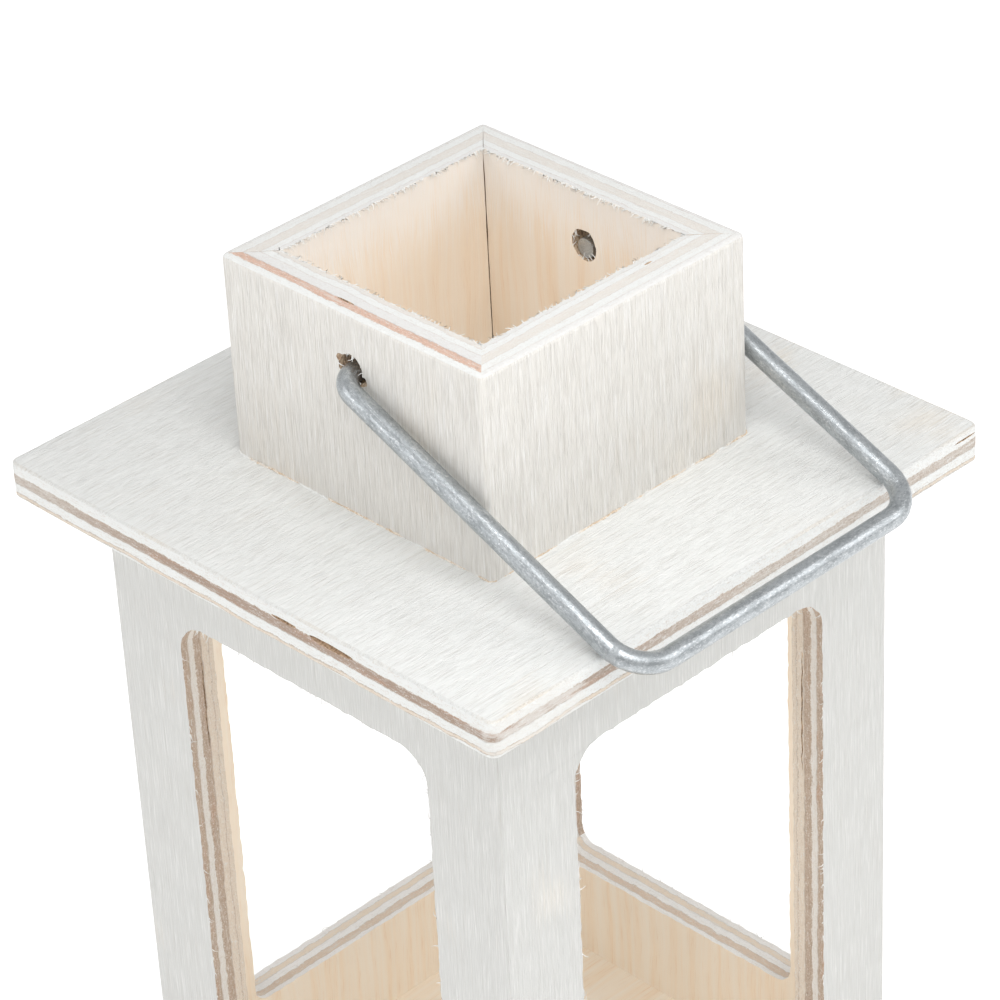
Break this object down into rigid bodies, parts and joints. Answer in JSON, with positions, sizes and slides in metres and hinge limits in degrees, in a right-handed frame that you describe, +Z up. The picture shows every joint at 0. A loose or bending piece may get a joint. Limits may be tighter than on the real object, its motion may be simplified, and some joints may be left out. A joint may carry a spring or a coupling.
{
  "type": "candle lantern",
  "caption": "Square plywood candle lantern with rounded windows on every side, an overhanging roof, an open chimney and a wire bail that folds down on the roof.",
  "frame": {"origin": "centre of the underside of the base plate, where the lantern stands", "axes": "+Z up through the chimney; the front panel faces -Y; +X is the side the bail rests on, and the bail's hinge runs along Y"},
  "size_m": [0.1077, 0.1, 0.164],
  "materials": {
    "whitewashed_plywood": "thin white wash over pale rotary-cut veneer, bare ply at the sawn edges",
    "galvanised_wire": "satin zinc, mottled grey"
  },
  "bodies": {
    "lantern": {"base_plate": "whitewashed_plywood", "front_panel": "whitewashed_plywood", "right_panel": "whitewashed_plywood", "back_panel": "whitewashed_plywood", "left_panel": "whitewashed_plywood", "roof_plate": "whitewashed_plywood", "chimney_front": "whitewashed_plywood", "chimney_right": "whitewashed_plywood", "chimney_back": "whitewashed_plywood", "chimney_left": "whitewashed_plywood"},
    "bail": {"wire_bail": "galvanised_wire"}
  },
  "joints": [
    {"name": "bail_hinge", "type": "hinge", "parent": "lantern", "child": "bail", "pos_m": [0, 0, 0.1544], "axis": [0, -1, 0], "range_deg": [0, 226.2]}
  ]
}
